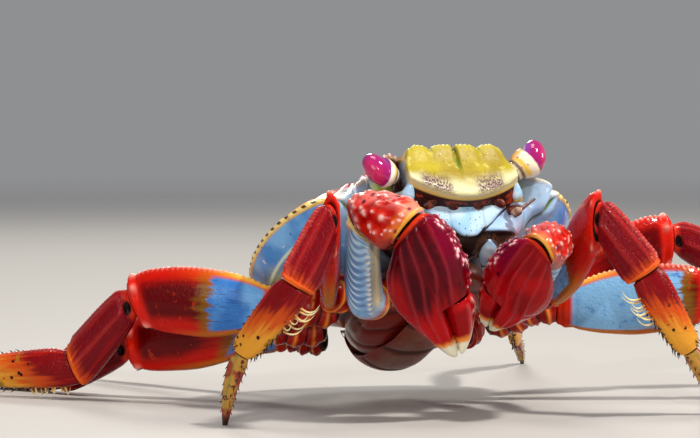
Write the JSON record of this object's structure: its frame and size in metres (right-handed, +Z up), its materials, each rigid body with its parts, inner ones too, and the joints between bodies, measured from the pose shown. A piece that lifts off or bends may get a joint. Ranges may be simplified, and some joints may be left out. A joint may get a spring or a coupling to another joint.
{
  "type": "shore crab figure",
  "caption": "Life-size still figure of a flat-bodied shore crab, nose raised, claws folded before the mouth, legs spread.",
  "frame": {"origin": "centre of the bounding box at floor level, where all the foot tips rest", "axes": "+Z up, the crab faces -Y, its left side is +X"},
  "size_m": [0.2271, 0.1437, 0.0611],
  "materials": {
    "body_shell": "glossy wet shell, pale blue flanks with a yellow front and a dark mottled red back",
    "under_shell": "smooth pale blue-grey shell",
    "mouth_shell": "smooth pale blue shell",
    "cornea": "polished magenta",
    "eyestalk": "glossy cream and gold",
    "feeler": "satin orange-red",
    "claw_arm": "glossy, blue ridged with red and cream",
    "claw_wrist": "wet gloss, scarlet with pale knobs",
    "claw_palm": "wet gloss, deep red with ivory tips",
    "claw_finger": "wet gloss, deep red with ivory tips",
    "leg_coxa": "glossy orange-red",
    "leg_merus": "glossy red with a blue patch near the body",
    "leg_carpus": "wet gloss, dark red",
    "leg_propodus": "glossy red fading to mustard",
    "leg_dactyl": "satin orange-brown with dark bristles"
  },
  "bodies": {
    "root": {"abdomen": "under_shell", "antenna_left": "feeler", "antenna_right": "feeler", "carapace": "body_shell", "claw_left_arm": "claw_arm", "claw_left_finger": "claw_finger", "claw_left_palm": "claw_palm", "claw_left_wrist": "claw_wrist", "claw_right_arm": "claw_arm", "claw_right_finger": "claw_finger", "claw_right_palm": "claw_palm", "claw_right_wrist": "claw_wrist", "eye_left": "cornea", "eye_right": "cornea", "eyestalk_left": "eyestalk", "eyestalk_right": "eyestalk", "leg1_left_carpus": "leg_carpus", "leg1_left_coxa": "leg_coxa", "leg1_left_dactyl": "leg_dactyl", "leg1_left_merus": "leg_merus", "leg1_left_propodus": "leg_propodus", "leg1_right_carpus": "leg_carpus", "leg1_right_coxa": "leg_coxa", "leg1_right_dactyl": "leg_dactyl", "leg1_right_merus": "leg_merus", "leg1_right_propodus": "leg_propodus", "leg2_left_carpus": "leg_carpus", "leg2_left_coxa": "leg_coxa", "leg2_left_dactyl": "leg_dactyl", "leg2_left_merus": "leg_merus", "leg2_left_propodus": "leg_propodus", "leg2_right_carpus": "leg_carpus", "leg2_right_coxa": "leg_coxa", "leg2_right_dactyl": "leg_dactyl", "leg2_right_merus": "leg_merus", "leg2_right_propodus": "leg_propodus", "leg3_left_carpus": "leg_carpus", "leg3_left_coxa": "leg_coxa", "leg3_left_dactyl": "leg_dactyl", "leg3_left_merus": "leg_merus", "leg3_left_propodus": "leg_propodus", "leg3_right_carpus": "leg_carpus", "leg3_right_coxa": "leg_coxa", "leg3_right_dactyl": "leg_dactyl", "leg3_right_merus": "leg_merus", "leg3_right_propodus": "leg_propodus", "leg4_left_carpus": "leg_carpus", "leg4_left_coxa": "leg_coxa", "leg4_left_dactyl": "leg_dactyl", "leg4_left_merus": "leg_merus", "leg4_left_propodus": "leg_propodus", "leg4_right_carpus": "leg_carpus", "leg4_right_coxa": "leg_coxa", "leg4_right_dactyl": "leg_dactyl", "leg4_right_merus": "leg_merus", "leg4_right_propodus": "leg_propodus", "maxilliped_left": "mouth_shell", "maxilliped_right": "mouth_shell", "sternum": "under_shell"}
  },
  "joints": []
}
